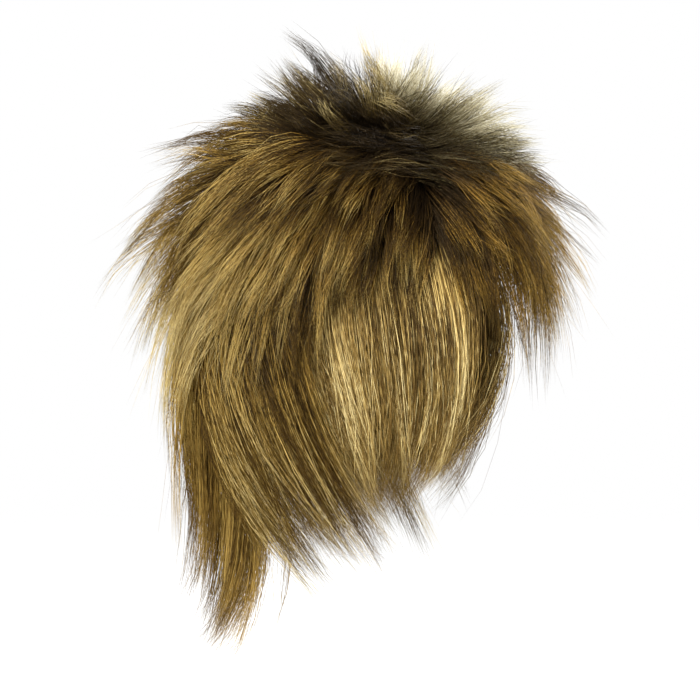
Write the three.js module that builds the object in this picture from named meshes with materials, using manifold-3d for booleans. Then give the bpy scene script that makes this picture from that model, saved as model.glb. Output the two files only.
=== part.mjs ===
// A layered mullet wig with a spiked crown: a stretch cap with eleven sections of hair sewn to it.
// Millimetres, +Z up. The origin is the crown seat, where the top of the head meets the inside
// of the cap. The face looks along -Y, and the wearer's left is +X.

import * as THREE from "three";
import { mergeVertices } from "three/addons/utils/BufferGeometryUtils.js";
import Module from "manifold-3d";

const manifold = await Module();
manifold.setup();

const { degToRad, lerp, smoothstep } = THREE.MathUtils;

// Driving dimensions of the head that the cap is stretched over
const HEAD_WIDTH = 152;
const HEAD_LENGTH = 196;
const CROWN_HEIGHT = 105; // from the head's widest level up to the crown

// Walls and clearances
const CAP_WALL = 1.5;
const SEAT_GAP = 0.5; // between the cap and the hair sewn to it
const ROOT_MAT = 2.4; // thickness of the packed roots along the cap
const SECTION_GAP = 0.35; // between two sections of hair
const MAT_MARGIN_DEGREES = 2; // how far a root mat reaches past its rows of locks
const MAT_INSET_DEGREES = 0.6; // how far it is then held back from its neighbours
const MAT_RIM_DEGREES = 1; // and from the rim of the cap
const CAP_CLEARANCE_DEPTH = 15; // how far under the scalp hair is cut away
const CAP_CLEARANCE_DEGREES = 1; // and how far past the rim

// Fineness of the faceted surfaces
const CAP_COLUMNS = 26;
const CAP_ROWS = 6;
const MAT_STEP_DEGREES = 20;
const LOCK_SIDES = 4;
const LOCK_STEP_LENGTH = 48;
const FEWEST_LOCK_STEPS = 3;

// The rim of the cap: polar angle from the crown at each turn from the brow to the nape.
const RIM = [
  { turn: 0, polar: 62 }, // hairline over the brow
  { turn: 48, polar: 72 }, // temple
  { turn: 74, polar: 98 }, // tab in front of the ear
  { turn: 100, polar: 92 }, // over the ear
  { turn: 135, polar: 112 }, // behind the ear
  { turn: 180, polar: 124 }, // nape
];

// The shape of a lock: its root's share of its full width and thickness, the share of its length
// where it is full, and how bluntly it closes to its tip.
const ROOT_WIDTH = 0.7;
const ROOT_THICKNESS = 0.4;
const FULL_AT = 0.35;
const TIP_BLUNTNESS = 2.4;
const SWEEP_AT_MID = 0.75; // share of its sweep that it has made at its middle

// Where the locks of even and odd rows stand in their share of the row, and how much a lock may
// differ from its neighbours: a share of its length, and degrees
const STAGGER = [0.35, 0.7];
const LENGTH_JITTER = 0.08;
const MID_JITTER = 5;
const TIP_JITTER = 8;
const SWEEP_JITTER = 8;

// How each section of hair lies, at the four corners of its patch of the cap. turn is the angle
// round the head from the brow, the same on both sides, and polar the angle from the crown.
// root, mid and tip are the hair's angles above the horizontal along its length, and sweep the
// angle that its tip has swung towards the back.
const STYLE_COLUMNS = ["polar", "turn", "length", "root", "mid", "tip", "sweep"];
const STYLES = {
  crown_spikes: [
    [3, 0, 66, 80, 70, 60, 0],
    [3, 64, 66, 88, 80, 72, -10],
    [34, 0, 62, 24, 10, -2, 0],
    [36, 64, 70, 14, 6, 2, -90],
  ],
  crown_tuft: [
    [3, 180, 78, 64, 48, 38, 0],
    [3, 66, 66, 84, 72, 62, 30],
    [25, 180, 66, 46, 35, 27, 0],
    [36, 66, 84, 14, 4, 0, 80],
  ],
  fringe: [
    [39, 0, 86, -4, -34, -54, 0],
    [39, 60, 94, -8, -34, -56, -84],
    [60, 0, 128, -58, -80, -92, 0],
    [60, 58, 110, -44, -80, -92, -40],
  ],
  upper_side: [
    [39, 62, 84, -8, -50, -72, 50],
    [37, 128, 116, 14, -28, -52, 60],
    [62, 60, 96, -54, -78, -88, 24],
    [62, 128, 165, -60, -72, -94, 38],
  ],
  upper_back: [
    [29, 180, 90, 42, 4, -18, 0],
    [35, 130, 104, 16, -30, -50, 20],
    [66, 180, 168, -48, -62, -92, 0],
    [66, 130, 176, -58, -68, -90, 12],
  ],
  side_panel: [
    [66, 48, 204, -51, -96, -156, -18],
    [66, 112, 226, -71, -101, -10, -150],
    [80, 61, 198, -47, -98, -161, -18],
    [86, 112, 180, -73, -80, -22, -165],
  ],
  back_layer: [
    [70, 159, 278, -61, -76, -37, -210],
    [70, 114, 252, -58, -96, -30, -176],
    [100, 155, 224, -78, -62, -32, -203],
    [97, 114, 218, -64, -74, -38, -186],
  ],
  nape_tail: [
    [72, 180, 172, -42, -84, -124, 0],
    [72, 161, 174, -48, -90, -118, 20],
    [119, 180, 222, -74, -138, -34, 0],
    [111, 151, 234, -80, -140, -22, 74],
  ],
};
const MIDDLE_CUT = { side_panel: 0.12 }; // the share that hair in the middle of a patch is cut shorter

// The sections, from the innermost out. sides holds +1 for the wearer's left and -1 for the right.
// locks are those of the longest row on one side, width and thickness those of one lock.
const SECTION_COLUMNS = ["name", "style", "sides", "rows", "locks", "width", "thickness", "colour"];
const SECTIONS = [
  ["nape_tail", "nape_tail", [-1, 1], 3, 1, 34, 12, 0x8a6e38],
  ["back_layer_right", "back_layer", [-1], 2, 4, 30, 11, 0x99834a],
  ["back_layer_left", "back_layer", [1], 2, 4, 30, 11, 0x99834a],
  ["side_panel_right", "side_panel", [-1], 2, 4, 32, 10, 0xb19e68],
  ["side_panel_left", "side_panel", [1], 2, 4, 32, 10, 0xb19e68],
  ["upper_layer_back", "upper_back", [-1, 1], 3, 2, 34, 11, 0xa58f55],
  ["upper_layer_right", "upper_side", [-1], 3, 3, 34, 10, 0x8f753a],
  ["upper_layer_left", "upper_side", [1], 3, 3, 34, 10, 0x8f753a],
  ["fringe", "fringe", [-1, 1], 3, 3, 23, 9, 0x7a5f24],
  ["crown_tuft", "crown_tuft", [-1, 1], 3, 4, 22, 13, 0x4a3818],
  ["crown_spikes", "crown_spikes", [-1, 1], 3, 3, 26, 13, 0x716440],
];
const CAP_COLOUR = 0x2b2118;
const FIBRE_ROUGHNESS = 0.45;
const CLOTH_ROUGHNESS = 0.9;

function namedRows(columns, rows) {
  return rows.map((row) => Object.fromEntries(columns.map((column, i) => [column, row[i]])));
}

// A point over the head, at a turn and polar angle in degrees and a height above the scalp.
function headPoint(turn, polar, height) {
  const [a, b] = [degToRad(turn), degToRad(polar)];
  return new THREE.Vector3(
    (HEAD_WIDTH / 2 + height) * Math.sin(b) * Math.sin(a),
    -(HEAD_LENGTH / 2 + height) * Math.sin(b) * Math.cos(a),
    (CROWN_HEIGHT + height) * Math.cos(b) - CROWN_HEIGHT,
  );
}

// The height of a point above the scalp, near enough for a point outside it.
function heightAbove(point) {
  const centred = new THREE.Vector3(point.x, point.y, point.z + CROWN_HEIGHT);
  const reach = new THREE.Vector3(
    centred.x / (HEAD_WIDTH / 2),
    centred.y / (HEAD_LENGTH / 2),
    centred.z / CROWN_HEIGHT,
  ).length();
  return centred.length() * (1 - 1 / reach);
}

// The polar angle of the cap's rim at a turn, by smooth steps through the RIM table.
function rimPolar(turn) {
  const folded = Math.abs(((turn + 540) % 360) - 180);
  const after = Math.max(1, RIM.findIndex((station) => station.turn >= folded));
  const [from, to] = [RIM[after - 1], RIM[after]];
  return lerp(from.polar, to.polar, smoothstep(folded, from.turn, to.turn));
}

// A closed solid from corner points and triangles, with doubled points merged and the triangles
// that this flattens dropped.
function solidFrom(points, triangles) {
  const geometry = new THREE.BufferGeometry().setFromPoints(points);
  geometry.setIndex(triangles.flat());
  const merged = mergeVertices(geometry, 1e-3);
  const kept = [];
  for (let i = 0; i < merged.index.count; i += 3) {
    const [a, b, c] = [0, 1, 2].map((k) => merged.index.getX(i + k));
    if (a !== b && b !== c && a !== c) kept.push(a, b, c);
  }
  const mesh = new manifold.Mesh({
    numProp: 3,
    vertProperties: merged.attributes.position.array,
    triVerts: new Uint32Array(kept),
  });
  return new manifold.Manifold(mesh);
}

// A wall over the head between two heights. placeAt gives the turn and polar angle at a share of
// the way along the wall and a share of the way down it. A wall that is closed round meets itself.
function domeWall({ placeAt, columns, rows, inner, outer, closedRound }) {
  const stations = closedRound ? columns : columns + 1;
  const points = [outer, inner].flatMap((height) =>
    Array.from({ length: stations * (rows + 1) }, (_, k) => {
      const { turn, polar } = placeAt(Math.floor(k / (rows + 1)) / columns, (k % (rows + 1)) / rows);
      return headPoint(turn, polar, height);
    }),
  );
  const at = (layer, i, j) => (layer * stations + (i % stations)) * (rows + 1) + j;
  const triangles = [];
  const quad = (a, b, c, d) => triangles.push([a, b, c], [a, c, d]);
  for (let i = 0; i < columns; i++) {
    for (let j = 0; j < rows; j++) {
      quad(at(0, i, j), at(0, i, j + 1), at(0, i + 1, j + 1), at(0, i + 1, j));
      quad(at(1, i, j), at(1, i + 1, j), at(1, i + 1, j + 1), at(1, i, j + 1));
    }
    quad(at(0, i, rows), at(1, i, rows), at(1, i + 1, rows), at(0, i + 1, rows));
    quad(at(0, i, 0), at(0, i + 1, 0), at(1, i + 1, 0), at(1, i, 0));
  }
  for (let j = 0; j < rows && !closedRound; j++) {
    quad(at(0, 0, j), at(1, 0, j), at(1, 0, j + 1), at(0, 0, j + 1));
    quad(at(0, columns, j), at(0, columns, j + 1), at(1, columns, j + 1), at(1, columns, j));
  }
  return solidFrom(points, triangles);
}

// The cap between two heights, or a wall of the same facets that goes beyond its rim.
function makeCap(inner, outer, beyondRim) {
  return domeWall({
    placeAt: (along, down) => {
      const turn = 360 * along;
      return { turn, polar: down * (rimPolar(turn) + beyondRim) };
    },
    columns: CAP_COLUMNS,
    rows: CAP_ROWS,
    inner,
    outer,
    closedRound: true,
  });
}

// The style of one lock at a place on its section's patch: across runs from the first turn to the
// second, and down from the top row to the bottom one.
function styleAt(corners, across, down) {
  const style = {};
  for (const column of STYLE_COLUMNS) {
    const top = lerp(corners[0][column], corners[1][column], across);
    const bottom = lerp(corners[2][column], corners[3][column], across);
    style[column] = lerp(top, bottom, down);
  }
  return style;
}

// A repeatable number from -1 to 1 for each lock, so that no two locks are quite alike.
function jitter(...keys) {
  const mixed = keys.reduce((sum, key, i) => sum + key * (12.9898 + 65.233 * i), 0.5);
  const wave = Math.sin(mixed) * 43758.5453;
  return 2 * (wave - Math.floor(wave)) - 1;
}

// Three angles along a lock, blended smoothly from its root to its tip.
const blendAngles = (root, mid, tip, s) => (1 - s) ** 2 * root + 2 * s * (1 - s) * mid + s * s * tip;

// The centre line of a lock as points, each with its direction and the direction of its width, which
// starts level at the root and is carried along without twisting.
function lockLine(style, side) {
  const turn = degToRad(style.turn) * side;
  const outward = new THREE.Vector3(Math.sin(turn), -Math.cos(turn), 0);
  const backward = new THREE.Vector3(Math.cos(turn), Math.sin(turn), 0).multiplyScalar(side);
  const place = headPoint(style.turn * side, style.polar, CAP_WALL + SEAT_GAP + ROOT_MAT / 2);
  const line = [];
  let wide = backward;
  const steps = Math.max(FEWEST_LOCK_STEPS, Math.round(style.length / LOCK_STEP_LENGTH));
  for (let i = 0; i <= steps; i++) {
    const s = i / steps;
    const pitch = degToRad(blendAngles(style.root, style.mid, style.tip, s));
    const sweep = degToRad(blendAngles(0, SWEEP_AT_MID * style.sweep, style.sweep, s));
    const direction = new THREE.Vector3()
      .addScaledVector(outward, Math.cos(pitch) * Math.cos(sweep))
      .addScaledVector(backward, Math.cos(pitch) * Math.sin(sweep))
      .setZ(Math.sin(pitch));
    wide = wide.clone().addScaledVector(direction, -wide.dot(direction)).normalize();
    line.push({ s, point: place.clone(), direction, wide });
    place.addScaledVector(direction, style.length / steps);
  }
  return line;
}

// The share of a lock's full width or thickness at s along it: slim roots, a full middle, a point.
const lockFullness = (s, root) => lerp(root, 1, smoothstep(s, 0, FULL_AT)) * (1 - s ** TIP_BLUNTNESS);

// One tapered lock as a solid, grown by extra on all sides.
function makeLock(style, side, width, thickness, extra) {
  const line = lockLine(style, side);
  const points = [];
  for (const { s, point, direction, wide } of line.slice(0, -1)) {
    const deep = new THREE.Vector3().crossVectors(direction, wide);
    const room = Math.max(heightAbove(point) - CAP_WALL - SEAT_GAP, ROOT_MAT / 2);
    const halfWidth = (width / 2) * lockFullness(s, ROOT_WIDTH) + extra;
    const halfDepth = Math.min((thickness / 2) * lockFullness(s, ROOT_THICKNESS), room) + extra;
    for (let k = 0; k < LOCK_SIDES; k++) {
      const angle = (2 * Math.PI * k) / LOCK_SIDES;
      points.push(
        point
          .clone()
          .addScaledVector(wide, halfWidth * Math.cos(angle))
          .addScaledVector(deep, halfDepth * Math.sin(angle)),
      );
    }
  }
  const rings = line.length - 1;
  const end = line.at(-1);
  points.push(end.point.clone().addScaledVector(end.direction, extra));
  const at = (ring, k) => ring * LOCK_SIDES + (k % LOCK_SIDES);
  const triangles = [];
  for (let k = 0; k < LOCK_SIDES; k++) {
    for (let ring = 0; ring < rings - 1; ring++) {
      triangles.push([at(ring, k), at(ring, k + 1), at(ring + 1, k + 1)]);
      triangles.push([at(ring, k), at(ring + 1, k + 1), at(ring + 1, k)]);
    }
    triangles.push([at(rings - 1, k), at(rings - 1, k + 1), points.length - 1]);
    if (k > 0 && k < LOCK_SIDES - 1) triangles.push([at(0, 0), at(0, k + 1), at(0, k)]);
  }
  return solidFrom(points, triangles);
}

// The packed roots of a section, grown by extra outwards and then no longer held back at its edges.
// A section on both sides is one mat that goes round the brow or the nape.
function makeRootMat(corners, sides, extra) {
  const [topFirst, topLast, bottomFirst, bottomLast] = corners;
  const held = extra > 0 ? 0 : MAT_INSET_DEGREES;
  const margin = MAT_MARGIN_DEGREES - held;
  const [extent, bottomExtent] = [
    Math.abs(topLast.turn - topFirst.turn),
    Math.abs(bottomLast.turn - bottomFirst.turn),
  ];
  const heldShare = held / (extent * sides.length);
  const bothSides = sides.length > 1;
  const turnsRise = bothSides ? topFirst.turn === 0 : (topLast.turn - topFirst.turn) * sides[0] > 0;
  const placeAt = (along, down) => {
    const way = lerp(heldShare, 1 - heldShare, turnsRise ? along : 1 - along);
    const side = bothSides ? (way < 0.5 ? -1 : 1) : sides[0];
    const { turn, polar } = styleAt(corners, bothSides ? Math.abs(2 * way - 1) : way, down);
    const lowest = rimPolar(turn) - MAT_RIM_DEGREES;
    return { turn: turn * side, polar: Math.min(polar + lerp(-margin, margin, down), lowest) };
  };
  return domeWall({
    placeAt,
    columns: Math.ceil((Math.max(extent, bottomExtent) * sides.length) / MAT_STEP_DEGREES),
    rows: Math.ceil((bottomFirst.polar - topFirst.polar + 2 * margin) / MAT_STEP_DEGREES),
    inner: 0,
    outer: CAP_WALL + SEAT_GAP + ROOT_MAT + extra,
    closedRound: false,
  });
}

// The locks of a section in staggered rows, each with its own small differences.
function makeLocks(section, corners, extra) {
  const solids = [];
  const girth = (polar) => Math.sin(degToRad(polar));
  const widest = Math.max(...corners.map((corner) => girth(corner.polar)));
  for (const side of section.sides) {
    for (let row = 0; row < section.rows; row++) {
      const down = row / (section.rows - 1);
      const count = Math.ceil((section.locks * girth(styleAt(corners, 0, down).polar)) / widest);
      for (let i = 0; i < count; i++) {
        const across = (i + STAGGER[row % 2]) / count;
        const style = styleAt(corners, across, down);
        style.length *= 1 - (MIDDLE_CUT[section.style] ?? 0) * 4 * across * (1 - across);
        const seed = [row, i, side, section.name.length];
        style.length *= 1 + LENGTH_JITTER * jitter(...seed, 1);
        style.mid += MID_JITTER * jitter(...seed, 2);
        style.tip += TIP_JITTER * jitter(...seed, 3);
        style.sweep += SWEEP_JITTER * jitter(...seed, 4);
        solids.push(makeLock(style, side, section.width, section.thickness, extra));
      }
    }
  }
  return solids;
}

function makeSection(section, extra) {
  const corners = namedRows(STYLE_COLUMNS, STYLES[section.style]);
  const mat = makeRootMat(corners, section.sides, extra);
  return manifold.Manifold.union([mat, ...makeLocks(section, corners, extra)]);
}

// The largest body of a solid: a cut can leave loose slivers behind.
function largestBody(solid) {
  return solid.decompose().reduce((best, body) => (body.volume() > best.volume() ? body : best));
}

function meshOf(name, solid, colour, roughness) {
  const { vertProperties, triVerts } = solid.getMesh();
  const geometry = new THREE.BufferGeometry();
  geometry.setAttribute("position", new THREE.BufferAttribute(vertProperties, 3));
  geometry.setIndex(new THREE.BufferAttribute(triVerts, 1));
  geometry.computeVertexNormals();
  const material = new THREE.MeshStandardMaterial({ color: colour, roughness, metalness: 0 });
  const mesh = new THREE.Mesh(geometry, material);
  mesh.name = name;
  return mesh;
}

const wig = new THREE.Group();
wig.name = "wig";
wig.add(meshOf("cap", makeCap(0, CAP_WALL, 0), CAP_COLOUR, CLOTH_ROUGHNESS));

// Each section is cut clear of the cap and of the sections under it.
let taken = makeCap(-CAP_CLEARANCE_DEPTH, CAP_WALL + SEAT_GAP, CAP_CLEARANCE_DEGREES);
for (const section of namedRows(SECTION_COLUMNS, SECTIONS)) {
  const solid = largestBody(makeSection(section, 0).subtract(taken));
  wig.add(meshOf(section.name, solid, section.colour, FIBRE_ROUGHNESS));
  taken = taken.add(makeSection(section, SECTION_GAP));
}

export default wig;
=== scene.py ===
# %% [markdown]
# # A layered mullet wig, fibre by fibre
# A wig is a stretch cap with thousands of fibres sewn to it. The solids of the model already hold
# its form as fat locks, and this lesson dresses them: a smooth net cap, then eleven sections of loose
# fibre that stand for the eleven sections of locks. Blender has a hair system, but a wig that is to be
# used as a plain model needs real meshes, so each fibre here is a slim closed tube, and all fibres
# of a section are joined into one mesh that is filled from arrays.

# %% Load the model as a fixed frame
import math

import bpy
import numpy as np
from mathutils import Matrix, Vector


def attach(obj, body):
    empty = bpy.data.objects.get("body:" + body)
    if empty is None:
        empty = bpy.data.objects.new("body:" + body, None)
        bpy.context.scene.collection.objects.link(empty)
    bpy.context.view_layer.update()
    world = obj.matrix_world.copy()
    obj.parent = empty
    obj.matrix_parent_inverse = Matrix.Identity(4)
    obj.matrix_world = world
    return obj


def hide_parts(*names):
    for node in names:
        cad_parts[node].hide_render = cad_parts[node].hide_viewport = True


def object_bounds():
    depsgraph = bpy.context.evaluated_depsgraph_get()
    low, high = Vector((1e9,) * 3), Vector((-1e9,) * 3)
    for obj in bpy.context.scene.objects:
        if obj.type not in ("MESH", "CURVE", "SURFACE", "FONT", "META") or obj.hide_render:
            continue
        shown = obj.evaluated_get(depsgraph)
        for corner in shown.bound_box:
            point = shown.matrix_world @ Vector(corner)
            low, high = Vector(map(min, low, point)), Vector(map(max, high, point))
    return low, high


MM = 0.001
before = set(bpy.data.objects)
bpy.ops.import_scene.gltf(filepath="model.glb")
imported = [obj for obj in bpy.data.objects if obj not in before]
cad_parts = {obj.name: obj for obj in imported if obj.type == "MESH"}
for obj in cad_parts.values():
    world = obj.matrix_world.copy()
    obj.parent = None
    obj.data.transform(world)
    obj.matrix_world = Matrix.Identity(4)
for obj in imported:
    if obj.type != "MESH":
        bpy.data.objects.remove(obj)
cad_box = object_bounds()
bpy.ops.object.select_all(action="DESELECT")
print("nodes:", sorted(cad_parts))
print("model box in metres:", [[round(c, 3) for c in corner] for corner in cad_box])

# %% [markdown]
# ## The camera
# The photo was taken from the wearer's right, a little towards the brow, and level with the wig. One
# millimetre at the wig's middle is about one and a half pixels. A long lens far away and a short lens
# close by can frame a thing alike, but a short lens makes near hair loom: this distance keeps its shape.

# %% Camera at the photo's angle
PICTURE = 700  # pixels, the picture is square
PIXELS_PER_MM = 1.5
CAMERA_TURN, CAMERA_RISE = math.radians(282), math.radians(2)
CAMERA_DISTANCE = 1.5
PICTURE_MIDDLE = Vector((0, 17, -147)) * MM  # the point of the wig at the picture's middle

away = Vector(
    (
        math.sin(CAMERA_TURN) * math.cos(CAMERA_RISE),
        -math.cos(CAMERA_TURN) * math.cos(CAMERA_RISE),
        math.sin(CAMERA_RISE),
    )
)
bpy.ops.object.camera_add(location=PICTURE_MIDDLE + away * CAMERA_DISTANCE)
camera = bpy.context.object
camera.rotation_euler = away.to_track_quat("Z", "Y").to_euler()
camera.data.angle = 2 * math.atan(PICTURE / PIXELS_PER_MM * MM / 2 / CAMERA_DISTANCE)
bpy.context.scene.camera = camera
print("camera angle in degrees:", round(math.degrees(camera.data.angle), 1))

# %% [markdown]
# ## Floor and light
# The background is plain white and the light is soft. A pale disc lies under the longest hair, and it
# turns more and more transparent away from the middle, so that its edge melts into the white. Hair is
# modelled by its own shadows and by the long glints along its fibres, so one lamp stands high on the
# camera's left and does most of the work, and three wider, weaker ones keep the other sides readable.

# %% Pale floor below the longest hair
FLOOR_DROP = 45 * MM
FLOOR_RADIUS = 1.8
FLOOR_FADE = (0.3, 1.7)  # metres from the middle
FLOOR_COLOUR, FLOOR_ROUGHNESS = (0.92, 0.92, 0.91), 0.9
FLOOR_CORNERS = 96


def plain_material(name, colour, roughness):
    material = bpy.data.materials.new(name)
    material.use_nodes = True
    shader = material.node_tree.nodes["Principled BSDF"]
    shader.inputs["Base Color"].default_value = (*colour, 1)
    shader.inputs["Roughness"].default_value = roughness
    return material


def fading_material(name, colour, roughness, fade):
    """A colour that turns transparent between two distances from the object's middle."""
    material = plain_material(name, colour, roughness)
    tree = material.node_tree
    place = tree.nodes.new("ShaderNodeTexCoord")
    reach = tree.nodes.new("ShaderNodeVectorMath")
    reach.operation = "LENGTH"
    share = tree.nodes.new("ShaderNodeMapRange")
    share.interpolation_type = "SMOOTHSTEP"
    share.inputs["From Min"].default_value, share.inputs["From Max"].default_value = fade
    clear = tree.nodes.new("ShaderNodeBsdfTransparent")
    mix = tree.nodes.new("ShaderNodeMixShader")
    tree.links.new(place.outputs["Object"], reach.inputs[0])
    tree.links.new(reach.outputs["Value"], share.inputs["Value"])
    tree.links.new(share.outputs["Result"], mix.inputs["Fac"])
    tree.links.new(tree.nodes["Principled BSDF"].outputs["BSDF"], mix.inputs[1])
    tree.links.new(clear.outputs["BSDF"], mix.inputs[2])
    tree.links.new(mix.outputs["Shader"], tree.nodes["Material Output"].inputs["Surface"])
    return material


floor_height = cad_box[0].z - FLOOR_DROP
bpy.ops.mesh.primitive_circle_add(
    vertices=FLOOR_CORNERS, radius=FLOOR_RADIUS, fill_type="NGON", location=(0, 0, floor_height)
)
floor = bpy.context.object
floor.name = "floor"
bpy.ops.object.transform_apply(location=True)
floor.data.materials.append(
    fading_material("pale_floor", FLOOR_COLOUR, FLOOR_ROUGHNESS, FLOOR_FADE)
)
print("floor at", round(floor_height, 3))

# %% Soft lamps and a white surround
LAMPS = [
    # name, turn and rise seen from the wig in degrees, distance, width, watts
    ("key", 258, 42, 1.7, 0.6, 56),
    ("front_fill", 325, 22, 1.9, 1.2, 30),
    ("back_fill", 130, 40, 1.9, 1.2, 22),
    ("far_fill", 60, 30, 1.9, 1.2, 18),
]
SURROUND_LIGHT, SURROUND_SEEN = 0.26, 1.0

for name, turn, rise, distance, width, watts in LAMPS:
    turn, rise = math.radians(turn), math.radians(rise)
    towards = Vector(
        (math.sin(turn) * math.cos(rise), -math.cos(turn) * math.cos(rise), math.sin(rise))
    )
    bpy.ops.object.light_add(type="AREA", location=PICTURE_MIDDLE + towards * distance)
    lamp = bpy.context.object
    lamp.name = name
    lamp.rotation_euler = towards.to_track_quat("Z", "Y").to_euler()
    lamp.data.shape = "DISK"
    lamp.data.size = width
    lamp.data.energy = watts

world = bpy.data.worlds.new("white_surround")
bpy.context.scene.world = world
world.use_nodes = True
nodes, links = world.node_tree.nodes, world.node_tree.links
rays = nodes.new("ShaderNodeLightPath")
strength = nodes.new("ShaderNodeMix")
strength.inputs["A"].default_value = SURROUND_LIGHT
strength.inputs["B"].default_value = SURROUND_SEEN
links.new(rays.outputs["Is Camera Ray"], strength.inputs["Factor"])
nodes["Background"].inputs["Color"].default_value = (1, 1, 1, 1)
links.new(strength.outputs["Result"], nodes["Background"].inputs["Strength"])
bpy.context.scene.view_settings.view_transform = "Standard"
print("lamps:", [row[0] for row in LAMPS])

# %% [markdown]
# ## The scalp that everything follows
# Both the cap and the fibres are placed on the same scalp shape, which is close to an egg. Two angles
# name a place on it: the turn round it from the brow, and the polar angle down from the crown.
# Working in these two angles makes every later step the same on both sides.

# %% Points on the scalp, in millimetres
SCALP = np.array([152 / 2, 196 / 2, 105])  # half width, half length, crown height
CAP_WALL = 1.5


def scalp_point(turn, polar, height):
    """The point at two angles in degrees and a height above the scalp."""
    turn, polar = np.radians(turn), np.radians(polar)
    grown = SCALP + np.asarray(height)[..., None]
    level = np.sin(polar)
    unit = np.stack([level * np.sin(turn), -level * np.cos(turn), np.cos(polar)], -1)
    return grown * unit - [0, 0, SCALP[2]]


print("ear level:", scalp_point(90, 90, 0).round(1), "brow:", scalp_point(0, 62, 0).round(1))

# %% [markdown]
# ## The cap
# The cap is a dome of stretch net, longer at the nape than at the brow, with a tab before each ear.
# A sphere has the right poles and rings: half of it is kept, its rings are slid down to the rim's own
# line at every turn, the last ones swell into a hem, and the sheet then gets the net's thickness.

# %% Half a sphere, slid onto the scalp
RIM = np.array(
    # turn from the brow, polar angle of the rim
    [(0, 62), (48, 72), (74, 98), (100, 92), (135, 112), (180, 124)]
)
CAP_SEGMENTS, CAP_RINGS = 96, 64
HEM_RINGS, HEM_BULGE = 2, 0.7


def rim_polar(turn):
    """The rim's polar angle, eased smoothly from one station of RIM to the next."""
    folded = np.abs((np.asarray(turn) + 180) % 360 - 180)
    after = np.clip(np.searchsorted(RIM[:, 0], folded), 1, len(RIM) - 1)
    (turn_a, polar_a), (turn_b, polar_b) = RIM[after - 1].T, RIM[after].T
    share = np.clip((folded - turn_a) / (turn_b - turn_a), 0, 1)
    return polar_a + (polar_b - polar_a) * share * share * (3 - 2 * share)


bpy.ops.mesh.primitive_uv_sphere_add(segments=CAP_SEGMENTS, ring_count=CAP_RINGS, radius=1)
cap = bpy.context.object
cap.name = "net_cap"
bpy.ops.object.mode_set(mode="EDIT")
bpy.ops.mesh.select_all(action="SELECT")
bpy.ops.mesh.bisect(plane_co=(0, 0, 0), plane_no=(0, 0, 1), clear_inner=True)
bpy.ops.object.mode_set(mode="OBJECT")

unit = np.empty(len(cap.data.vertices) * 3)
cap.data.vertices.foreach_get("co", unit)
unit = unit.reshape(-1, 3)
turn = np.degrees(np.arctan2(unit[:, 0], -unit[:, 1]))
share = np.degrees(np.arccos(np.clip(unit[:, 2], -1, 1))) / 90
hem_share = HEM_RINGS * 2 / CAP_RINGS
hem = np.clip((share - (1 - hem_share)) / hem_share, 0, 1)
placed = scalp_point(turn, share * rim_polar(turn), CAP_WALL + HEM_BULGE * np.sin(hem * math.pi))
cap.data.vertices.foreach_set("co", (placed * MM).ravel())
cap.data.update()
print("cap sheet:", len(cap.data.polygons), "faces")

# %% Thickness for the net
solidify = cap.modifiers.new("net_thickness", "SOLIDIFY")
solidify.thickness = CAP_WALL * MM
solidify.offset = -1
bpy.ops.object.modifier_apply(modifier=solidify.name)
bpy.ops.object.shade_smooth()
print("cap:", len(cap.data.polygons), "faces, size", [round(c, 3) for c in cap.dimensions])

# %% [markdown]
# The net is dark brown and matt, knitted in a fine mesh, with rows of stitched weft across it. Both
# follow the sphere's own UV map, which still runs round and down the cap. Fine ridges are bump: they
# are far too small to model. The colour follows the same height, darkest in the knit's hollows as
# painted shade and lightest on the weft rows.

# %% Net finish on the cap
WEFT_ROWS, KNIT_COLUMNS, KNIT_ROWS = 46, 300, 150
WEFT_FROM = 0.6  # a row of weft shows where its wave is higher than this
KNIT_HEIGHT = 0.4  # of the weft's height
NET_BUMP, NET_RELIEF = 0.6, 0.5 * MM
NET_BASE, NET_ROUGHNESS = (0.02, 0.014, 0.009), 0.85
# colours from low to high relief: painted shade in the knit's hollows, lightest on the weft rows
NET_RELIEF_SHADING = (0.012, 0.008, 0.005, 1), (0.055, 0.038, 0.022, 1)


def wave_on(tree, coordinate, count):
    """A smooth wave, count times along a coordinate from 0 to 1."""
    scale = tree.nodes.new("ShaderNodeMath")
    scale.operation = "MULTIPLY"
    scale.inputs[1].default_value = count * 2 * math.pi
    sine = tree.nodes.new("ShaderNodeMath")
    sine.operation = "SINE"
    tree.links.new(coordinate, scale.inputs[0])
    tree.links.new(scale.outputs[0], sine.inputs[0])
    return sine.outputs[0]


def joined(tree, operation, a, b):
    """The result of a sum, product or test of two sockets or numbers."""
    node = tree.nodes.new("ShaderNodeMath")
    node.operation = operation
    for socket, value in zip(node.inputs, (a, b)):
        if isinstance(value, (int, float)):
            socket.default_value = value
        else:
            tree.links.new(value, socket)
    return node.outputs[0]


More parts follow.
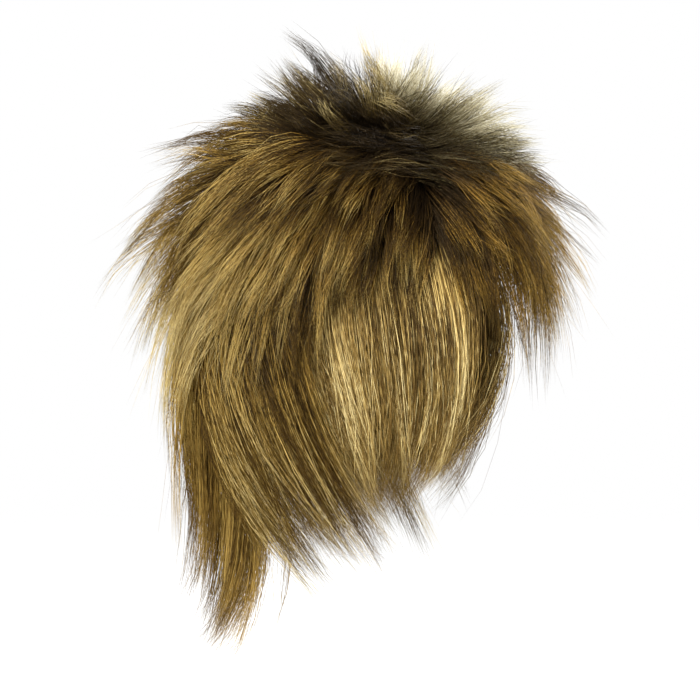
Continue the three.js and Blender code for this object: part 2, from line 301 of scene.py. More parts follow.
def net_material():
    material = plain_material("cap_net", NET_BASE, NET_ROUGHNESS)
    tree = material.node_tree
    shader = tree.nodes["Principled BSDF"]
    place = tree.nodes.new("ShaderNodeUVMap")
    split = tree.nodes.new("ShaderNodeSeparateXYZ")
    tree.links.new(place.outputs["UV"], split.inputs[0])
    round_cap, down_cap = split.outputs["X"], split.outputs["Y"]
    knit = joined(
        tree,
        "MULTIPLY",
        wave_on(tree, round_cap, KNIT_COLUMNS),
        wave_on(tree, down_cap, KNIT_ROWS),
    )
    weft = joined(tree, "GREATER_THAN", wave_on(tree, down_cap, WEFT_ROWS), WEFT_FROM)
    height = joined(tree, "ADD", joined(tree, "MULTIPLY", knit, KNIT_HEIGHT), weft)
    bump = tree.nodes.new("ShaderNodeBump")
    bump.inputs["Strength"].default_value = NET_BUMP
    bump.inputs["Distance"].default_value = NET_RELIEF
    tree.links.new(height, bump.inputs["Height"])
    tree.links.new(bump.outputs["Normal"], shader.inputs["Normal"])
    # painted shade: the colour darkens where the knit's height is low
    ramp = tree.nodes.new("ShaderNodeValToRGB")
    for element, shade in zip(ramp.color_ramp.elements, NET_RELIEF_SHADING):
        element.color = shade
    tree.links.new(height, ramp.inputs["Fac"])
    tree.links.new(ramp.outputs["Color"], shader.inputs["Base Color"])
    return material


cap.data.materials.append(net_material())
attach(cap, "root")
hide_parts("cap")
print("cap finished with", WEFT_ROWS, "rows of weft")

# %% [markdown]
# ## How the hair is cut and combed
# Each section covers a patch of the cap. A hairdresser would describe a patch by what hair does at its
# corners: how long it is, and whether it stands, lies or hangs at its root, middle and tip. Everything
# between the corners is a blend. The same short table shaped the solid locks, so the fibres fall
# where the locks are. Below the crown, many rows follow lines that a small fitting program laid along
# strands in the photograph, and some of them were then changed by hand.

# %% The style of every section
STYLE_COLUMNS = ("polar", "turn", "length", "root", "mid", "tip", "sweep")
STYLES = {
    # top corner at the first turn, at the second turn, then the two bottom corners
    "crown_spikes": [
        (3, 0, 66, 80, 70, 60, 0),
        (3, 64, 66, 88, 80, 72, -10),
        (34, 0, 62, 24, 10, -2, 0),
        (36, 64, 70, 14, 6, 2, -90),
    ],
    "crown_tuft": [
        (3, 180, 78, 64, 48, 38, 0),
        (3, 66, 66, 84, 72, 62, 30),
        (25, 180, 66, 46, 35, 27, 0),
        (36, 66, 84, 14, 4, 0, 80),
    ],
    "fringe": [
        (39, 0, 86, -4, -34, -54, 0),
        (39, 60, 94, -8, -34, -56, -84),
        (60, 0, 128, -58, -80, -92, 0),
        (60, 58, 110, -44, -80, -92, -40),
    ],
    "upper_side": [
        (39, 62, 84, -8, -50, -72, 50),
        (37, 128, 116, 14, -28, -52, 60),
        (62, 60, 96, -54, -78, -88, 24),
        (62, 128, 165, -60, -72, -94, 38),
    ],
    "upper_back": [
        (29, 180, 90, 42, 4, -18, 0),
        (35, 130, 104, 16, -30, -50, 20),
        (66, 180, 168, -48, -62, -92, 0),
        (66, 130, 176, -58, -68, -90, 12),
    ],
    "side_panel": [
        (66, 48, 204, -51, -96, -156, -18),
        (66, 112, 226, -71, -101, -10, -150),
        (80, 61, 198, -47, -98, -161, -18),
        (86, 112, 180, -73, -80, -22, -165),
    ],
    "back_layer": [
        (70, 159, 278, -61, -76, -37, -210),
        (70, 114, 252, -58, -96, -30, -176),
        (100, 155, 224, -78, -62, -32, -203),
        (97, 114, 218, -64, -74, -38, -186),
    ],
    "nape_tail": [
        (72, 180, 172, -42, -84, -124, 0),
        (72, 161, 174, -48, -90, -118, 20),
        (119, 180, 222, -74, -138, -34, 0),
        (111, 151, 234, -80, -140, -22, 74),
    ],
}
MIDDLE_CUT = {"side_panel": 0.12}  # the share that hair in the middle of a patch is cut shorter


def style_at(name, across, down):
    """The style at places on a patch, as a dict of arrays: a blend of its four corners."""
    corners = np.array(STYLES[name], float)
    weights = np.stack(
        [(1 - across) * (1 - down), across * (1 - down), (1 - across) * down, across * down], -1
    )
    style = dict(zip(STYLE_COLUMNS, (weights @ corners).T))
    style["length"] = style["length"] * (1 - MIDDLE_CUT.get(name, 0) * 4 * across * (1 - across))
    return style


print("styles:", list(STYLES))

# %% [markdown]
# ## Growing a fibre
# A fibre leaves the cap at its root angle and bends towards its tip angle, and it may swing towards
# the back or the brow on its way. Adding up many short steps in the changing direction gives its line.
# Thousands of lines are worked out at once, as arrays with one row for each fibre.

# %% Lines from styles
LINE_POINTS = 24
ROOT_HEIGHT = 1.8
SWEEP_AT_MID = 0.75


def blend(root, mid, tip, along):
    """Three values along a fibre, blended smoothly from root to tip."""
    root, mid, tip = (np.asarray(value, float)[..., None] for value in (root, mid, tip))
    return (1 - along) ** 2 * root + 2 * along * (1 - along) * mid + along**2 * tip


def level_directions(style, side):
    """Outward and backward at each root, level with the ground."""
    turn = np.radians(style["turn"]) * side
    zero = np.zeros_like(turn)
    outward = np.stack([np.sin(turn), -np.cos(turn), zero], -1)
    backward = np.stack([np.cos(turn), np.sin(turn), zero], -1) * side[:, None]
    return outward, backward


def grow(style, side):
    """Lines in millimetres, one row of LINE_POINTS points for each fibre."""
    along = np.linspace(0, 1, LINE_POINTS)
    pitch = np.radians(blend(style["root"], style["mid"], style["tip"], along))[..., None]
    swing = np.radians(blend(0 * style["sweep"], SWEEP_AT_MID * style["sweep"], style["sweep"], along))
    swing = swing[..., None]
    outward, backward = (d[:, None] for d in level_directions(style, side))
    upward = np.array([0, 0, 1.0])
    level = np.cos(swing) * outward + np.sin(swing) * backward
    direction = np.cos(pitch) * level + np.sin(pitch) * upward
    step_lengths = (style["length"] / (LINE_POINTS - 1))[:, None, None]
    steps = (direction[:, 1:] + direction[:, :-1]) / 2 * step_lengths
    root = scalp_point(style["turn"] * side, style["polar"], np.full(len(side), ROOT_HEIGHT))
    return np.concatenate([root[:, None], root[:, None] + np.cumsum(steps, 1)], 1)


one = style_at("fringe", np.zeros(1), np.zeros(1))
print("a fringe fibre ends at", grow(one, np.ones(1))[0, -1].round(1))

# %% [markdown]
# Roots are spread evenly over a patch, and a little over its edges, so that no bare line is left
# between two sections. Each line then gets small differences of its own and a slight wave.

# %% Evenly spread roots and small differences
PATCH_OVERLAP = 0.04  # the least share that a patch spills over its sides
EVEN_STEPS = (0.75488, 0.56984)  # steps that fill a square evenly, however many are taken
PATCH_TOP, PATCH_BOTTOM = -0.04, 1.08  # the usual spill over its top and bottom edge
WAVES = (0.7, 2.2)  # fewest and most waves along a line
LOOSE_SHARES = {"root": 0.6, "mid": 1.0, "tip": 1.4, "sweep": 1.4}  # tips differ more than roots
LOOSE_LENGTH = 0.012  # share of the length for each degree of looseness
RIM_MARGIN = 1  # degrees that roots stay inside the cap's rim


def smooth(value, low, high):
    """A share that eases from 0 at low to 1 at high."""
    share = np.clip((value - low) / (high - low), 0, 1)
    return share * share * (3 - 2 * share)


def roots_on(rng, name, sides, count, spill, top, bottom):
    """Roots spread evenly from top to bottom of a patch: across, down and side for each."""
    places = (rng.random(2) + np.arange(count)[:, None] * EVEN_STEPS) % 1
    girth = np.sin(np.radians([row[0] for row in STYLES[name]]))
    a, b = girth[0], girth[2]
    down = (np.sqrt(a * a + places[:, 1] * (b * b - a * a)) - a) / (b - a)
    across = (1 + 2 * spill) * places[:, 0] - spill
    if len(sides) == 2:
        across = np.abs(across)
    return across, top + down * (bottom - top), np.resize(np.array(sides, float), count)


def loosened(rng, style, amount):
    """The same style with small differences from one line to the next, in degrees."""
    changed = dict(style)
    for column, share in LOOSE_SHARES.items():
        changed[column] = style[column] + rng.normal(0, 1, len(amount)) * amount * share
    changed["length"] = style["length"] * (1 + rng.normal(0, 1, len(amount)) * LOOSE_LENGTH * amount)
    changed["polar"] = np.minimum(style["polar"], rim_polar(style["turn"]) - RIM_MARGIN)
    return changed


def waved(rng, lines, backward, size):
    """Adds each line's own slight waves, level and upright."""
    along = np.linspace(0, 1, lines.shape[1])
    count = len(lines)
    for direction in (backward, np.array([0, 0, 1.0])):
        waves = rng.uniform(*WAVES, count)[:, None] * along + rng.random(count)[:, None]
        sizes = rng.normal(0, size, count)[:, None] * along
        shifts = (sizes * np.sin(2 * np.pi * waves))[..., None]
        lines = lines + shifts * np.reshape(direction, (-1, 1, 3))
    return lines


across, down, side = roots_on(np.random.default_rng(1), "fringe", (-1, 1), 1000, PATCH_OVERLAP, 0, 1)
print("1000 roots, mean place down the fringe:", down.mean().round(2))

# %% [markdown]
# Hair isn't combed fibre by fibre: fibres cling into wisps, and wisps into locks. So three sets of
# lines are grown on the same patch, few locks, more wisps and all the fibres, and each line is drawn
# towards the one it belongs to, more and more along its length. A few strays hardly cling at all and
# go their own way. At the end, every line that would cut through the cap is laid over it.

# %% Drawn to a host, kept off the cap
CLING_FROM = 0.05  # of the way from root to tip
HOLDS = (0.8, 1.0)  # the least and the whole of a section's pull
STRAY_LOOSE, STRAY_PULL, STRAY_WIDTH = 1.6, 0.3, 0.7  # as shares of a usual fibre's
CLEARANCES = (0.3, 3.0)  # above the cap, at the root and from CLEAR_FROM onwards
CLEAR_FROM = 0.15
DEEPEST = 0.5  # points nearer the middle than this share of the way aren't pushed out further
FAR = 1e6  # a gap that keeps a fibre from clinging to the other side's hair
SCALP_ENDS = (-200.0, -150.0)  # heights between which fibres stop keeping off the scalp


def nearest(hair, host):
    """The index of the host line with the nearest root on the same side, for each line."""
    roots, centres = hair["lines"][:, 0], host["lines"][:, 0]
    gap = (centres**2).sum(-1) - 2 * roots @ centres.T
    gap += FAR * (hair["side"][:, None] != host["side"])
    return gap.argmin(1)


def cling(lines, hosts, pull, gather):
    """Draws lines to their hosts, with each line's pull from the place gather onwards."""
    along = np.linspace(0, 1, LINE_POINTS)
    share = (pull[:, None] * smooth(along, CLING_FROM, gather))[..., None]
    return lines + (hosts - lines) * share


def clear_of_scalp(lines):
    """Moves points that would lie inside the cap out to its surface."""
    along = smooth(np.linspace(0, 1, LINE_POINTS), 0, CLEAR_FROM)
    grown = SCALP + CAP_WALL + (CLEARANCES[0] + (CLEARANCES[1] - CLEARANCES[0]) * along)[:, None]
    centred = lines + [0, 0, SCALP[2]]
    reach = np.linalg.norm(centred / grown, axis=-1)
    push = np.where(reach < 1, 1 / np.maximum(reach, DEEPEST), 1.0)
    push = 1 + (push - 1) * smooth(lines[..., 2], *SCALP_ENDS)
    return centred * push[..., None] - [0, 0, SCALP[2]]


lifted = clear_of_scalp(np.tile(scalp_point(90, 60, 0), (1, LINE_POINTS, 1)))
print("a tip on the scalp is lifted to", lifted[0, -1].round(1))


# %% Locks, wisps and fibres
def comb(
    name, sides, counts, pulls, loose, waves, strays, seed,
    gather=1.0, spill=PATCH_OVERLAP, top=PATCH_TOP, bottom=PATCH_BOTTOM,
):
    """Combs a section. counts, loose and waves hold a value for its locks, its wisps and its fibres."""
    rng = np.random.default_rng(seed)
    host = None
    for count, pull, spread, wave in zip(counts, (0, *pulls), loose, waves):
        across, down, side = roots_on(rng, name, sides, count, spill, top, bottom)
        stray = rng.random(count) < (strays if count == counts[-1] else 0)
        style = loosened(rng, style_at(name, across, down), spread * np.where(stray, STRAY_LOOSE, 1))
        backward = level_directions(style, side)[1]
        hair = {
            "lines": grow(style, side),
            "side": side,
            "across": across,
            "down": down,
            "backward": backward,
            "stray": stray,
            "owners": [],
            "rng": rng,
        }
        if host:
            owner = nearest(hair, host)
            hold = pull * rng.uniform(*HOLDS, count) * np.where(stray, STRAY_PULL, 1)
            hair["lines"] = cling(hair["lines"], host["lines"][owner], hold, gather)
            hair["owners"] = [owners[owner] for owners in host["owners"]] + [owner]
        hair["lines"] = waved(rng, hair["lines"], backward, wave)
        host = hair
    host["lines"] = clear_of_scalp(host["lines"])
    return host


sample = comb("fringe", (-1, 1), (5, 20, 100), (0.5, 0.5), (5, 5, 5), (1, 1, 1), 0.1, seed=1)
print("a sample of", len(sample["lines"]), "fibres with", sample["stray"].sum(), "strays")

# %% [markdown]
# ## From lines to tubes
# A tube with three sides is the least that is closed and round enough to glint. Every fibre has its own
# tone, kept in a UV map: across it the tone, along it the way from root to tip. A colour that depends
# on nothing else can be painted into a picture later without loss, however many fibres there are.

# %% Rings and faces of a fibre
SIDES = 3
ROOT_WIDTH, FULL_WIDTH_FROM = 0.75, 0.3  # a fibre's width at its root, and where it is whole
TIP_TAPER, TAPER_POWER = 0.8, 1.6
TONE_BAND = 0.008  # the share of the map's width that one fibre takes up
ROOT_FACE_PLACES = [(2, 0), (1, 0.05), (0, 0)]  # where the closing face at a root lies on the map
MAP_NAME = "OFBake"  # the map that carries tone and the way from root to tip
TINY = 1e-9  # keeps a division by a length safe


def cut_to_length(lines, lengths, rings):
    """Each line again, ended at its own share of its length, with a given number of rings."""
    at = lengths[:, None] * np.linspace(0, 1, rings)[None] * (LINE_POINTS - 1)
    low = np.minimum(at.astype(int), LINE_POINTS - 2)
    row = np.arange(len(lines))[:, None]
    return lines[row, low] + (lines[row, low + 1] - lines[row, low]) * (at - low)[..., None]


def tube_points(lines, backward, widths):
    """Rings of SIDES points round each line, without its last point, which is the tip itself."""
    direction = np.gradient(lines, axis=1)
    direction /= np.linalg.norm(direction, axis=-1, keepdims=True)
    along = np.linspace(0, 1, lines.shape[1])
    swell = ROOT_WIDTH + (1 - ROOT_WIDTH) * smooth(along, 0, FULL_WIDTH_FROM)
    radius = widths[:, None] / 2 * swell * (1 - TIP_TAPER * along**TAPER_POWER)
    angle = 2 * np.pi * np.arange(SIDES) / SIDES
    wide, rings = backward, []
    for ring in range(lines.shape[1] - 1):
        ahead = direction[:, ring]
        wide = wide - ahead * (ahead * wide).sum(-1, keepdims=True)
        wide = wide / (np.linalg.norm(wide, axis=-1, keepdims=True) + TINY)
        deep = np.cross(ahead, wide)
        spokes = wide[:, None] * np.cos(angle)[:, None] + deep[:, None] * np.sin(angle)[:, None]
        rings.append(lines[:, ring, None] + spokes * radius[:, ring, None, None])
    return np.concatenate(rings, 1)


def fibre_faces(rings):
    """One fibre's faces: their corners, the places of these on the map, and how many each face has."""

    def at(ring, side):
        return ring * SIDES + side % SIDES

    corners, places, sizes = [], [], []
    for k in range(SIDES):
        for ring in range(rings - 1):
            corners += [at(ring, k), at(ring, k + 1), at(ring + 1, k + 1), at(ring + 1, k)]
            places += [(k, ring), (k + 1, ring), (k + 1, ring + 1), (k, ring + 1)]
            sizes.append(4)
        corners += [at(rings - 1, k), at(rings - 1, k + 1), rings * SIDES]
        places += [(k, rings - 1), (k + 1, rings - 1), (k + 0.5, rings)]
        sizes.append(3)
    corners += range(SIDES - 1, -1, -1)
    places += ROOT_FACE_PLACES
    sizes.append(SIDES)
    return np.array(corners), np.array(places) / (SIDES, rings), sizes


SAMPLE_RINGS = 6
sample_sizes = fibre_faces(SAMPLE_RINGS - 1)[2]
print("a fibre with", SAMPLE_RINGS, "rings has", sum(size - 2 for size in sample_sizes), "triangles")


# %% One mesh from many fibres
def fibre_mesh(name, lines, backward, widths, tones, rooted):
    """A mesh of closed tubes, with each fibre's tone and length in its UV map. rooted is above 1 where
    the colour of the roots reaches further along."""
    count, rings = lines.shape[0], lines.shape[1] - 1
    per_fibre = rings * SIDES + 1
    points = np.concatenate([tube_points(lines, backward, widths), lines[:, -1:]], 1)
    corners, places, sizes = fibre_faces(rings)
    corners = (corners[None] + np.arange(count)[:, None] * per_fibre).ravel()
    mesh = bpy.data.meshes.new(name)
    mesh.vertices.add(count * per_fibre)
    mesh.vertices.foreach_set("co", (points * MM).ravel())
    mesh.loops.add(len(corners))
    mesh.loops.foreach_set("vertex_index", corners.astype(np.int32))
    starts = np.concatenate([[0], np.cumsum(np.tile(sizes, count))[:-1]])
    mesh.polygons.add(len(starts))
    mesh.polygons.foreach_set("loop_start", starts.astype(np.int32))
    mesh.polygons.foreach_set("use_smooth", np.ones(len(starts), bool))
    tone_map = mesh.uv_layers.new(name=MAP_NAME)
    across = tones[:, None] * (1 - TONE_BAND) + places[None, :, 0] * TONE_BAND
    along = places[None, :, 1] ** rooted[:, None]
    tone_map.data.foreach_set("uv", np.stack([across, along], -1).ravel().astype(np.float32))
    mesh.update(calc_edges=True)
    mesh.validate()
    return mesh


few = sample["lines"][:, ::6]
ones = np.ones(len(few))
trial = fibre_mesh("trial", few, sample["backward"], ones, ones, ones)
print("the sample as a mesh:", len(trial.polygons), "faces")
bpy.data.meshes.remove(trial)

# %% [markdown]
# ## The colours of the fibre
# The fibre is dyed: dark brown at the root, ochre to gold along its length and pale at the tip, and no
# two fibres took the dye alike. Three colour ramps run from root to tip, for the darkest, the usual
# and the palest fibres, and a fibre's tone picks between them. The fibre also has a fine crimp, far too
# small to model, and its glints and shade are painted as short flecks of lighter and darker tone.

# %% Dyes as ramps
def from_screen(colour):
    """A colour as picked on a screen, 0 to 255, as the shader wants it."""
    value = np.array(colour) / 255
    return np.where(value <= 0.04045, value / 12.92, ((value + 0.055) / 1.055) ** 2.4)


def ramp_along(tree, along, stops):
    node = tree.nodes.new("ShaderNodeValToRGB")
    elements = node.color_ramp.elements
    while len(elements) < len(stops):
        elements.new(0.5)
    for element, (place, colour) in zip(elements, stops):
        element.position = place
        element.color = (*from_screen(colour), 1)
    tree.links.new(along, node.inputs["Fac"])
    return node.outputs["Color"]


def mixed(tree, share, a, b):
    node = tree.nodes.new("ShaderNodeMix")
    node.data_type = "RGBA"
    tree.links.new(share, node.inputs["Factor"])
    tree.links.new(a, node.inputs["A"])
    tree.links.new(b, node.inputs["B"])
    return node.outputs["Result"]


print("mid grey on a screen is", from_screen((128, 128, 128)).round(2)[0], "to the shader")

# %% Fibre material
FIBRE_BASE, FIBRE_ROUGHNESS = (0.3, 0.2, 0.1), 0.42
FIBRE_GLOSS, GLOSS_TINT = 0.2, (1.0, 0.78, 0.45)
# painted glints and shade of the fibre's crimp
PAINTED_CRIMP_SHADING, PAINTED_CRIMP_STRENGTH = (60, 30, 0), 1.0  # flecks over the range of tones and along a fibre


def fibre_material(name, dark, usual, pale):
    """dark, usual and pale are lists of (place along the fibre, colour on the screen)."""
    material = plain_material(name, FIBRE_BASE, FIBRE_ROUGHNESS)
    tree = material.node_tree
    shader = tree.nodes["Principled BSDF"]
    place = tree.nodes.new("ShaderNodeUVMap")
    place.uv_map = MAP_NAME
    shader.inputs["Specular IOR Level"].default_value = FIBRE_GLOSS
    shader.inputs["Specular Tint"].default_value = (*GLOSS_TINT, 1)
    split = tree.nodes.new("ShaderNodeSeparateXYZ")
    tree.links.new(place.outputs["UV"], split.inputs[0])
    tone, along = split.outputs["X"], split.outputs["Y"]
    spread = tree.nodes.new("ShaderNodeVectorMath")
    spread.operation = "MULTIPLY"
    spread.inputs[1].default_value = PAINTED_CRIMP_SHADING
    tree.links.new(place.outputs["UV"], spread.inputs[0])
    # painted glints and shade of the crimp, as lighter and darker flecks along each fibre
    fleck = tree.nodes.new("ShaderNodeTexNoise")
    fleck.noise_dimensions = "2D"
    fleck.inputs["Scale"].default_value = 1.0
    fleck.inputs["Detail"].default_value = 0.0
    tree.links.new(spread.outputs["Vector"], fleck.inputs["Vector"])
    lighter = joined(tree, "SUBTRACT", fleck.outputs[0], 0.5)
    tone = joined(tree, "ADD", tone, joined(tree, "MULTIPLY", lighter, PAINTED_CRIMP_STRENGTH))
    lower = joined(tree, "MULTIPLY", tone, 2.0)
    upper = joined(tree, "SUBTRACT", lower, 1.0)
    ramps = [ramp_along(tree, along, stops) for stops in (dark, usual, pale)]
    colour = mixed(tree, upper, mixed(tree, lower, ramps[0], ramps[1]), ramps[2])
    tree.links.new(colour, shader.inputs["Base Color"])
    return material


print("flecks along a fibre:", PAINTED_CRIMP_SHADING[1])

# %% The seven dyes
FIBRE_COLOURS = {
    # stops from root to tip of the darkest, the usual and the palest fibres
    "crown_fibre": (
        [(0, (14, 9, 4)), (0.4, (28, 20, 9)), (1, (50, 40, 20))],
        [(0, (24, 16, 7)), (0.25, (66, 54, 30)), (0.6, (126, 115, 78)), (1, (172, 162, 126))],
        [(0, (36, 26, 11)), (0.25, (118, 104, 66)), (0.6, (188, 180, 150)), (1, (222, 216, 194))],
    ),
    "tuft_fibre": (
        [(0, (14, 9, 4)), (0.6, (24, 16, 7)), (1, (44, 33, 17))],
        [(0, (20, 13, 5)), (0.4, (42, 30, 12)), (1, (86, 70, 37))],
        [(0, (34, 24, 10)), (0.35, (102, 84, 42)), (1, (188, 170, 116))],
    ),
    "fringe_fibre": (
        [(0, (16, 9, 4)), (0.2, (24, 15, 6)), (0.45, (42, 28, 9)), (1, (64, 46, 18))],
        [(0, (22, 13, 5)), (0.2, (38, 25, 9)), (0.45, (98, 71, 22)), (1, (128, 100, 44))],
        [(0, (32, 21, 8)), (0.2, (62, 44, 17)), (0.45, (150, 115, 46)), (1, (196, 168, 98))],
    ),
    "upper_fibre": (
        [(0, (13, 8, 4)), (0.2, (20, 12, 5)), (0.4, (34, 22, 8)), (1, (64, 46, 18))],
        [
            (0, (20, 12, 5)), (0.2, (36, 24, 8)), (0.4, (74, 52, 16)),
            (0.7, (126, 98, 42)), (1, (160, 131, 66)),
        ],
        [
            (0, (30, 20, 8)), (0.2, (66, 48, 18)), (0.4, (130, 98, 38)),
            (0.7, (194, 166, 96)), (1, (220, 198, 138)),
        ],
    ),
    # the side fibres darken again towards the tip: partly their dye, partly painted shade where the ends
    # turn in
    "side_fibre": (
        [(0, (20, 13, 7)), (0.25, (52, 37, 17)), (0.7, (90, 68, 31)), (1, (82, 60, 26))],
        [(0, (34, 23, 11)), (0.25, (124, 97, 46)), (0.6, (160, 133, 74)), (1, (136, 108, 52))],
        [(0, (66, 49, 22)), (0.25, (188, 160, 94)), (0.6, (226, 206, 148)), (1, (198, 172, 106))],
    ),
    "back_fibre": (
        [(0, (18, 11, 4)), (0.35, (42, 28, 9)), (1, (80, 58, 23))],
        [(0, (34, 23, 8)), (0.35, (108, 81, 31)), (1, (152, 125, 63))],
        [(0, (60, 44, 17)), (0.35, (176, 145, 73)), (1, (224, 205, 147))],
    ),
    "nape_fibre": (
        [(0, (24, 16, 7)), (0.35, (60, 43, 17)), (1, (80, 58, 23))],
        [(0, (42, 29, 11)), (0.35, (114, 87, 36)), (1, (134, 104, 46))],
        [(0, (68, 50, 21)), (0.35, (160, 131, 66)), (1, (184, 154, 84))],
    ),
}
FIBRES = {name: fibre_material(name, *ramps) for name, ramps in FIBRE_COLOURS.items()}
print("fibre finishes:", list(FIBRES))

# %% [markdown]
# ## One section, start to finish
# All eleven sections are made alike: comb, choose tones, cut each fibre to its length and build the
# tubes. Fibres of uneven length give feathery ends. What differs is a handful of numbers, so a section
# is one call.

# %% Build a section
TONE_SPREADS = (0.26, 0.32, 0.26)  # from lock to lock, wisp to wisp, fibre to fibre
WIDTHS = (0.6, 1.3)  # thinnest and thickest fibre, as shares of the usual width
WISP_CUT = 0.7  # how far a wisp is cut as one, the rest is cut fibre by fibre
triangles_made = []


def hair_section(piece_name, node, slot, combed, rings, width, tone, shortest, thinning=1.2, rooted=1):
    """Makes one section as one mesh that stands for its node. tone is each fibre's base tone, shortest
    the share of its length that the shortest fibre keeps, and a low thinning leaves few long ones. A
    high rooted lets the dark of the roots reach further."""
    rng = combed["rng"]
    count = len(combed["lines"])
    for owner, spread in zip(combed["owners"], TONE_SPREADS):
        tone = tone + rng.normal(0, spread, owner.max() + 1)[owner]
    tone = tone + rng.normal(0, TONE_SPREADS[-1], count)
    wisp = combed["owners"][-1]
    cut = WISP_CUT * rng.random(wisp.max() + 1)[wisp] ** thinning + (1 - WISP_CUT) * rng.random(count)
    lines = cut_to_length(combed["lines"], 1 - (1 - shortest) * cut, rings)
    widths = width * rng.uniform(*WIDTHS, count) * np.where(combed["stray"], STRAY_WIDTH, 1.0)
    rooted = np.broadcast_to(rooted, count)
    mesh = fibre_mesh(piece_name, lines, combed["backward"], widths, np.clip(tone, 0, 1), rooted)
    piece = bpy.data.objects.new(piece_name, mesh)
    bpy.context.collection.objects.link(piece)
    mesh.materials.append(FIBRES[slot])
    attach(piece, "root")
    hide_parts(node)
    triangles_made.append(sum(len(p.vertices) - 2 for p in mesh.polygons))
    print(piece_name, count, "fibres,", triangles_made[-1], "triangles")


BOTH, RIGHT, LEFT = (-1, 1), (-1,), (1,)
print("tones spread over locks, wisps and fibres:", TONE_SPREADS)

# %% [markdown]
# ## The crown
# The top was cut short, teased and sprayed until it stood up: pale strands over the brow and a dark
# tuft behind them, with bare gaps in between. Few locks that cling hard and differ a lot give such
# tufts, and the high share of strays gives the frizz over them. Over each temple both meet in a whorl,
# which is the darkest place of all.

# %% Pale front of the crown
WHORL = (0.25, 0.9)  # where the dark of the whorl begins and where it is full
WHORL_DARK = 1.5  # how far the whorl lowers the tone
WHORL_ROOTS = 1.2  # how much further the root colour reaches there


def whorl_at(combed):
    """How near each root is to the whorl, from 0 to 1."""
    return smooth(combed["across"] * combed["down"], *WHORL)


combed = comb(
    "crown_spikes", BOTH, counts=(40, 170, 4000), pulls=(0.55, 0.9), loose=(15, 18, 10),
    waves=(3, 2.5, 2), strays=0.18, seed=11, spill=0.2, top=-0.1, bottom=1.3,
)
whorl = whorl_at(combed)
hair_section(
    "crown_spikes_hair", "crown_spikes", "crown_fibre", combed,
    rings=5, width=0.5, tone=1.0 - 0.2 * combed["down"] - WHORL_DARK * whorl, shortest=0.38, thinning=0.8,
    rooted=1 + WHORL_ROOTS * whorl,
)

# %% Dark tuft of the crown
combed = comb(
    "crown_tuft", BOTH, counts=(30, 100, 4200), pulls=(0.7, 0.95), loose=(13, 18, 9),
    waves=(3, 2.5, 2), strays=0.16, seed=12, spill=0.15, top=-0.1, bottom=1.3,
)
whorl = whorl_at(combed)
forward = combed["across"] ** 3 * np.clip(1 - combed["down"], 0, 1)
hair_section(
    "crown_tuft_hair", "crown_tuft", "tuft_fibre", combed,
    rings=5, width=0.5, tone=-0.1 + 0.15 * combed["down"] * (1 - combed["across"]) + 1.5 * forward,
    shortest=0.42, thinning=0.85, rooted=1 + WHORL_ROOTS * whorl,
)

# %% [markdown]
# ## The fringe
# Under the crown the fringe falls forwards in flicked points. Its roots are darkest at the temples,
# where the hair parts, so the colour of the roots is let out further along there.

# %% Fringe
PARTING_ROOTS = 1.7  # how much further the root colour reaches where the hair parts
combed = comb(
    "fringe", BOTH, counts=(44, 180, 3800), pulls=(0.5, 0.88), loose=(9, 16, 8),
    waves=(3, 3, 2.5), strays=0.14, seed=13, top=-0.25,
)
hair_section(
    "fringe_hair", "fringe", "fringe_fibre", combed,
    rings=6, width=0.5, tone=0.66 - 0.5 * combed["across"], shortest=0.5,
    rooted=1 + PARTING_ROOTS * np.clip(combed["across"], 0, 1),
)
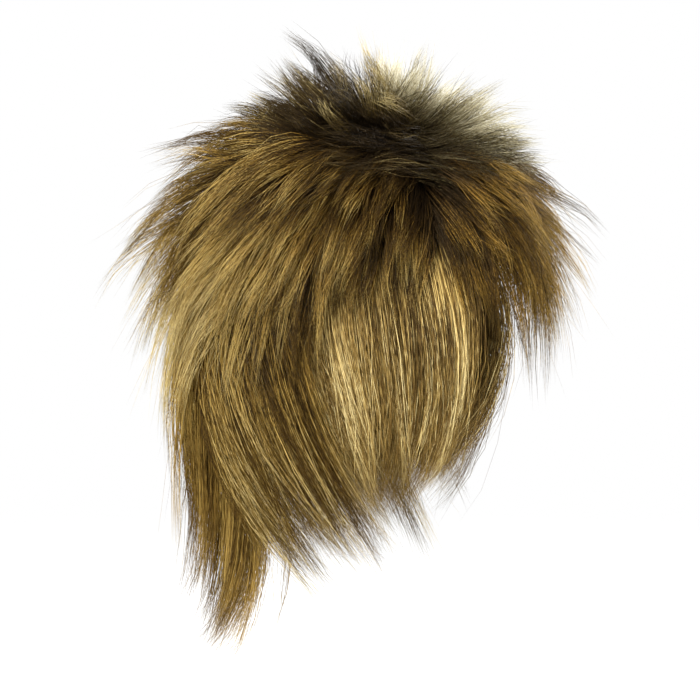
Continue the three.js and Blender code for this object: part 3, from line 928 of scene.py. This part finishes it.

# %% [markdown]
# ## The upper layers
# The upper layers fan backwards from the parting and end in feathered points over the longer hair. A
# fibre's own length is cut wisp by wisp, as a stylist cuts it, because lengths cut fibre by fibre would
# fade out like a brush. The tone rises towards the back and towards the lower edge.

# %% Upper layers
for name, sides, seed in (("right", RIGHT, 14), ("left", LEFT, 15)):
    combed = comb(
        "upper_side", sides, counts=(36, 170, 3300), pulls=(0.72, 0.92), loose=(12, 15, 7),
        waves=(3, 3, 2.5), strays=0.14, seed=seed, gather=0.9, top=-0.25,
    )
    hair_section(
        f"upper_hair_{name}", f"upper_layer_{name}", "upper_fibre", combed,
        rings=6, width=0.5, tone=combed["across"] * (0.4 + 0.6 * combed["down"]), shortest=0.45,
        rooted=1 + PARTING_ROOTS * np.clip(1 - combed["across"], 0, 1),
    )
combed = comb(
    "upper_back", BOTH, counts=(36, 190, 3800), pulls=(0.75, 0.92), loose=(11, 13, 6),
    waves=(3, 3, 2.5), strays=0.1, seed=16, gather=0.8, top=-0.15,
)
hair_section(
    "upper_hair_back", "upper_layer_back", "back_fibre", combed,
    rings=6, width=0.5, tone=0.05 + 0.84 * combed["down"], shortest=0.5,
    rooted=1 + 2 * np.clip(1 - combed["down"], 0, 1),
)

# %% [markdown]
# ## The side panels
# In front of the ears the hair hangs straight down to chin length and turns in at the ends. It is the
# smoothest part, so its locks differ little from each other.

# %% Side panels
for name, sides, seed in (("right", RIGHT, 17), ("left", LEFT, 18)):
    combed = comb(
        "side_panel", sides, counts=(12, 130, 2500), pulls=(0.68, 0.84), loose=(6, 11, 6),
        waves=(3, 4, 2.5), strays=0.05, seed=seed,
    )
    hair_section(
        f"side_hair_{name}", f"side_panel_{name}", "side_fibre", combed,
        rings=7, width=0.52, tone=0.26 + 0.18 * combed["across"], shortest=0.72,
    )

# %% [markdown]
# ## Back and nape
# The long hair behind the ears bends forwards in an S, and a thin tail stays at the nape. Both need more
# rings along each fibre than the short hair, or the bends would show corners.

# %% Back and nape
for name, sides, seed in (("right", RIGHT, 19), ("left", LEFT, 20)):
    combed = comb(
        "back_layer", sides, counts=(16, 110, 1800), pulls=(0.6, 0.85), loose=(5, 9, 6),
        waves=(3, 4, 2.5), strays=0.03, seed=seed, gather=0.9, spill=0.12,
    )
    # painted shade: the tone is lower where the layer lies under the side panel and lower down the patch,
    # in the S-bend
    hair_section(
        f"back_hair_{name}", f"back_layer_{name}", "back_fibre", combed,
        rings=8, width=0.55, tone=0.3 - 0.1 * combed["across"] - 0.25 * combed["down"], shortest=0.65,
        thinning=0.8, rooted=1.2,
    )
combed = comb(
    "nape_tail", BOTH, counts=(16, 130, 2300), pulls=(0.42, 0.78), loose=(5, 9, 5),
    waves=(3, 3, 2), strays=0.04, seed=21, gather=0.8,
)
hair_section(
    "nape_hair", "nape_tail", "nape_fibre", combed,
    rings=8, width=0.55, tone=0.6, shortest=0.85,
)
print("all fibres:", sum(triangles_made), "triangles")
